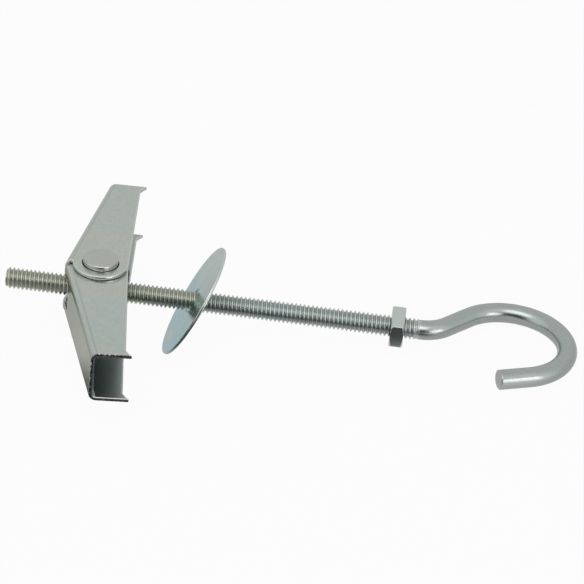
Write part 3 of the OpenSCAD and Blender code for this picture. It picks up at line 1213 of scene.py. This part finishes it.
def finish(made: Object, material: Material, body: str, node: str) -> None:
    """Dresses a piece and sets it in the frame in place of its CAD node.

    Args:
        made: The piece.
        material: Its material.
        body: The body that it rides on.
        node: The CAD node that it stands for.
    """
    made.data.materials.clear()
    made.data.materials.append(material)
    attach(made, body)
    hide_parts(node)
    LOG.info("%s: %d points, %d faces", made.name, len(made.data.vertices), len(made.data.polygons))


# Studio.


@dataclass
class Studio:
    """Floor, world, lamps and camera."""

    bolt: BoltFrame
    focal_mm: float = 164.8
    sensor_mm: float = 36.0
    floor_reach: float = 6.0
    eye: Triple = (0.07440, -0.67240, 0.43104)
    back: Triple = (0.0212, -0.8460, 0.5329)
    right: Triple = (0.9918, 0.0851, 0.0957)

    def camera(self) -> None:
        """Sets the camera, placed from the bolt's own directions."""
        turn = self.bolt.matrix.to_3x3()
        back = (turn @ Vector(self.back)).normalized()
        right = turn @ Vector(self.right)
        right = (right - back * right.dot(back)).normalized()
        up = back.cross(right)
        data = bpy.data.cameras.new("camera")
        data.lens = self.focal_mm
        data.sensor_width = self.sensor_mm
        data.clip_start, data.clip_end = 0.01, 20.0
        made = placed("camera", data)
        facing = Matrix((right, up, back)).transposed().to_4x4()
        facing.translation = self.bolt.matrix @ Vector(self.eye)
        made.matrix_world = facing
        bpy.context.scene.camera = made

    def floor(self) -> None:
        """Lays a wide pale floor that keeps the shadow.

        It is white where it is seen. In gloss it is grey, with a painted dark reflection before the rod and
        a painted bright reflection by the hook.
        """
        mesh = bpy.data.meshes.new("floor")
        reach = self.floor_reach
        corners = [(-reach, -reach, 0), (reach, -reach, 0), (reach, reach, 0), (-reach, reach, 0)]
        mesh.from_pydata(corners, [], [(0, 1, 2, 3)])
        made = placed("floor", mesh)
        material = bpy.data.materials.new("pale_floor")
        graph = Graph(material)
        matt = graph.add("ShaderNodeBsdfDiffuse", {}, {"Color": (0.82, 0.82, 0.82, 1.0)})
        seen, glossy = graph.rays()
        place = graph.add("ShaderNodeTexCoord", {}, {}).outputs["Object"]
        x, y = graph.part_of(place, "X"), graph.part_of(place, "Y")
        # The edges of the painted dark and bright reflections are in metres on the floor.
        near = 1.0 - y.between(-0.024, -0.005)
        dark_reflection_patch = near * x.between(-0.082, -0.063) * (1.0 - x.between(0.044, 0.062))
        bright_reflection_patch = x.between(0.052, 0.072) * (1.0 - y.between(-0.04, -0.015))
        # Gloss sees the floor glow grey, with a painted dark reflection before the rod and a painted bright
        # one by the hook.
        lit = graph.mix(bright_reflection_patch, (0.64, 0.65, 0.64), WHITE)
        mirrored = graph.mix(dark_reflection_patch, lit, DARK_ROOM)
        shown = graph.mix(seen, mirrored, WHITE)
        bright = graph.add("ShaderNodeEmission", {}, {"Color": shown, "Strength": 1.0})
        share = seen * 0.95 + glossy * 0.93
        both = graph.add("ShaderNodeMixShader", {}, {0: share, 1: matt.outputs[0], 2: bright.outputs[0]})
        graph.add("ShaderNodeOutputMaterial", {}, {"Surface": both.outputs[0]})
        mesh.materials.append(material)

    def world(self) -> None:
        """Sets a plain studio: white where it is seen, with a dark room behind the camera in gloss."""
        made = bpy.data.worlds.new("studio")
        bpy.context.scene.world = made
        graph = Graph(made)
        seen, glossy = graph.rays()
        place = graph.add("ShaderNodeTexCoord", {}, {}).outputs["Generated"]
        side, depth, height = (graph.part_of(place, letter) for letter in "XYZ")
        back = graph.mix(height.between(-0.05, 0.45), (0.60, 0.61, 0.59), (0.70, 0.71, 0.70))
        walls = graph.mix(depth.between(-0.35, 0.25), (0.90, 0.91, 0.91), back)
        room = (1.0 - (depth - side * 0.17).between(-0.85, -0.60)) * (1.0 - height.between(0.38, 0.75))
        studio = graph.mix(room, walls, DARK_ROOM)
        lit = graph.mix(glossy, (0.42, 0.42, 0.42), studio)
        shown = graph.mix(seen, lit, WHITE)
        plain = graph.add("ShaderNodeBackground", {}, {"Color": shown, "Strength": 1.0})
        graph.add("ShaderNodeOutputWorld", {}, {"Surface": plain.outputs[0]})

    def lamp(self, name: str, place: Triple, size: Pair, power: float) -> None:
        """Hangs a soft box that points at the object.

        Args:
            name: The lamp's name.
            place: Where it hangs, in the row frame.
            size: Its width and height.
            power: Its power in watts.
        """
        data = bpy.data.lights.new(name, "AREA")
        data.shape = "RECTANGLE"
        data.size, data.size_y = size
        data.energy = power
        made = placed(name, data)
        made.location = place
        made.rotation_euler = Vector(place).to_track_quat("Z", "Y").to_euler()

    def build(self) -> None:
        """Sets up the whole studio."""
        self.camera()
        self.floor()
        self.world()
        self.lamp("soft_box_top", place=(0.0, -0.6, 0.95), size=(0.9, 0.6), power=1.8)
        self.lamp("soft_box_front", place=(0.69, -0.70, 0.19), size=(0.5, 0.55), power=1.7)
        bpy.context.scene.view_settings.view_transform = "Standard"


def main() -> None:
    """Builds every piece."""
    logging.basicConfig(level=logging.INFO, format="%(name)s: %(message)s")
    bolt = BoltFrame.from_joints(frame["joints"])
    Studio(bolt).build()
    HookBolt(bolt).build()
    FoldedWing(bolt, "outer_wing", "outer", heading_deg=93.0, open_side=-1.0).build()
    FoldedWing(bolt, "inner_wing", "inner", heading_deg=-83.0, open_side=1.0).build()
    Trunnion(bolt).build()
    WingSpring(bolt).build()
    CoverWasher(bolt).build()
    LockNut(bolt).build()


if __name__ == "__main__":
    main()
